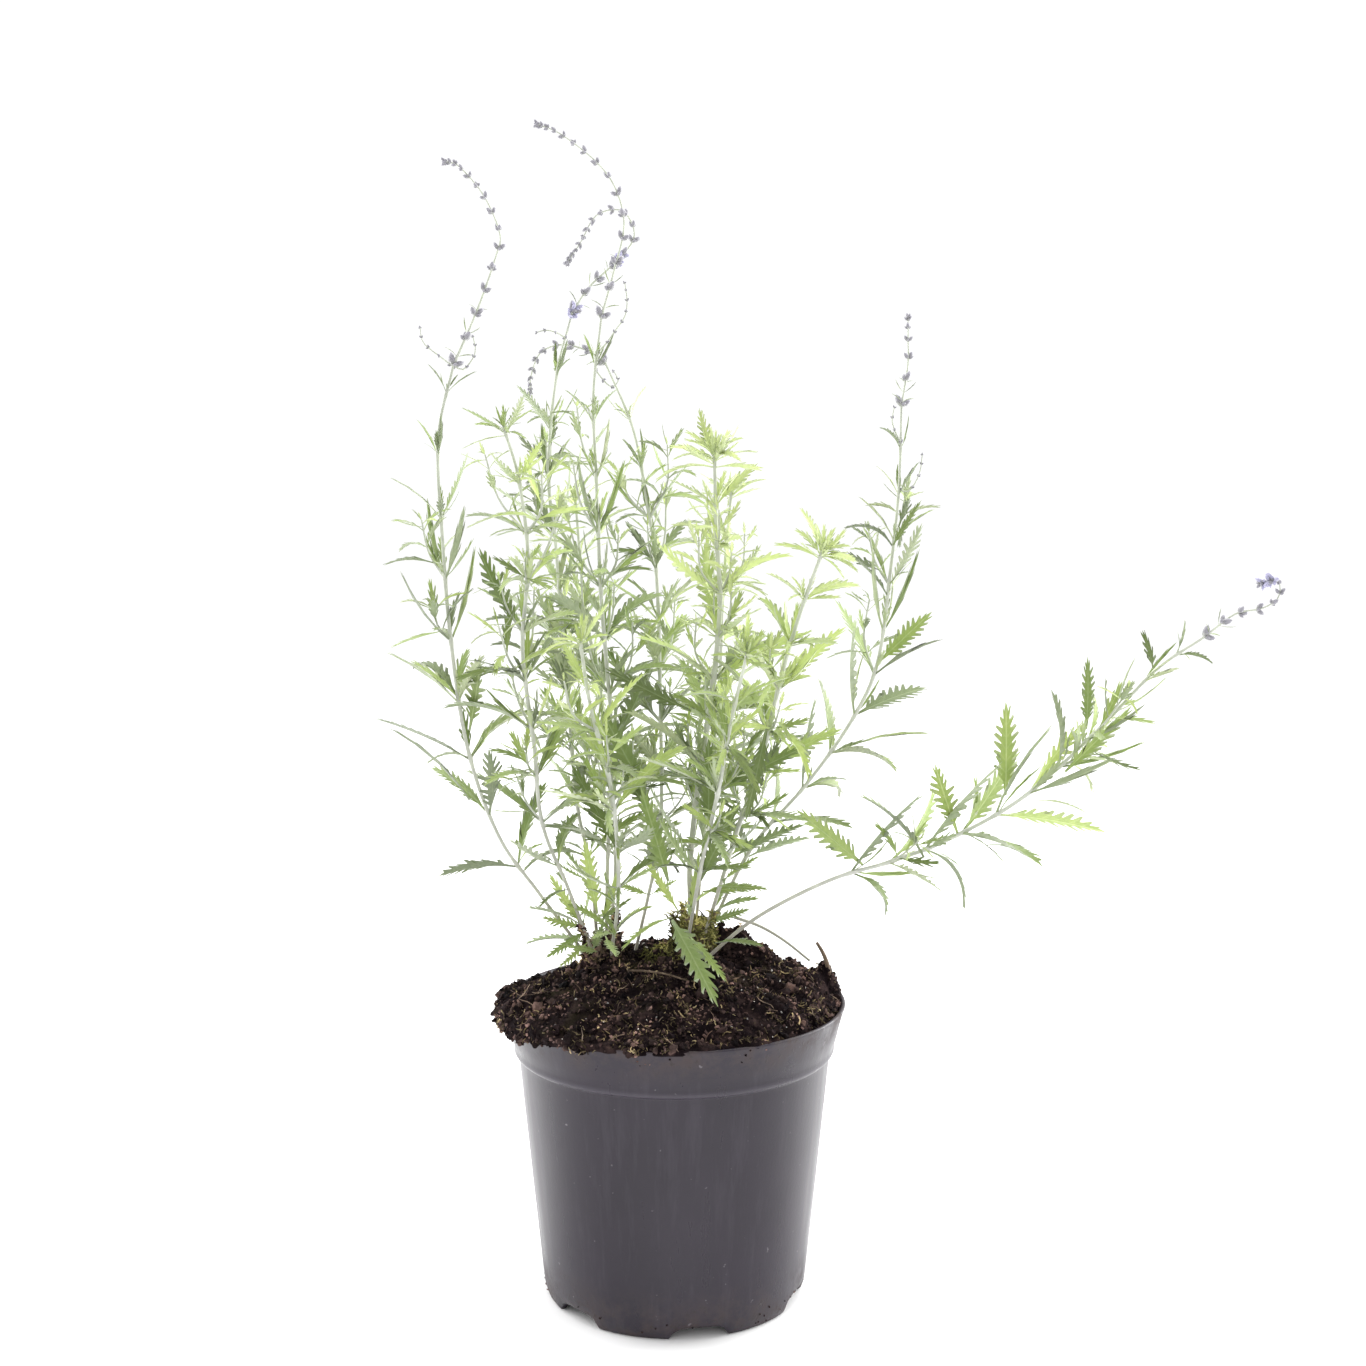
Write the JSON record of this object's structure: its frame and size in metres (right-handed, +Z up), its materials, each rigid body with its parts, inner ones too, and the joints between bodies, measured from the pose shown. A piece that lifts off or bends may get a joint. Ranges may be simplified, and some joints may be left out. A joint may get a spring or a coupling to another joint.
{
  "type": "potted russian sage",
  "caption": "Perennial herb with square pale stems, toothed opposite leaves and thin violet flower spikes, growing in peat in a round plastic nursery pot.",
  "frame": {"origin": "centre of the underside of the pot, on the ground", "axes": "+Z up the pot's axis, +X toward the side that the long arching stem leans to, -Y toward the viewer of the picture"},
  "size_m": [0.4215, 0.207, 0.5724],
  "materials": {
    "pot_plastic": "slightly shiny moulded dark grey plastic, scuffed and dusty",
    "peat": "dull, crumbly, fibrous dark brown peat",
    "crown_wood": "rough grey-brown bark",
    "stem": "pale grey-green with short white down",
    "leaf": "matt soft green, paler and silvery below",
    "flower": "felted grey-violet buds"
  },
  "bodies": {
    "root": {"crown_left": "crown_wood", "crown_right": "crown_wood", "flowers_arching": "flower", "flowers_back_left": "flower", "flowers_far_left": "flower", "flowers_middle": "flower", "flowers_right": "flower", "flowers_tall": "flower", "leaves_arching_1": "leaf", "leaves_arching_3": "leaf", "leaves_arching_5": "leaf", "leaves_arching_7": "leaf", "leaves_back_left_4": "leaf", "leaves_back_left_7": "leaf", "leaves_bushy_3": "leaf", "leaves_bushy_5": "leaf", "leaves_bushy_8": "leaf", "leaves_far_left_1": "leaf", "leaves_far_left_3": "leaf", "leaves_far_left_5": "leaf", "leaves_far_left_7": "leaf", "leaves_front_left_3": "leaf", "leaves_front_left_5": "leaf", "leaves_front_right_2": "leaf", "leaves_front_right_4": "leaf", "leaves_left_3": "leaf", "leaves_left_6": "leaf", "leaves_left_9": "leaf", "leaves_middle_4": "leaf", "leaves_middle_8": "leaf", "leaves_rear_left_3": "leaf", "leaves_rear_left_6": "leaf", "leaves_rear_right_3": "leaf", "leaves_rear_right_6": "leaf", "leaves_right_10": "leaf", "leaves_right_3": "leaf", "leaves_right_5": "leaf", "leaves_right_8": "leaf", "leaves_right_bushy_3": "leaf", "leaves_right_bushy_6": "leaf", "leaves_tall_3": "leaf", "leaves_tall_6": "leaf", "leaves_tall_9": "leaf", "pot": "pot_plastic", "soil": "peat", "stem_arching": "stem", "stem_back_left": "stem", "stem_bushy": "stem", "stem_far_left": "stem", "stem_front_left": "stem", "stem_front_right": "stem", "stem_left": "stem", "stem_middle": "stem", "stem_rear_left": "stem", "stem_rear_right": "stem", "stem_right": "stem", "stem_right_bushy": "stem", "stem_tall": "stem"}
  },
  "joints": []
}
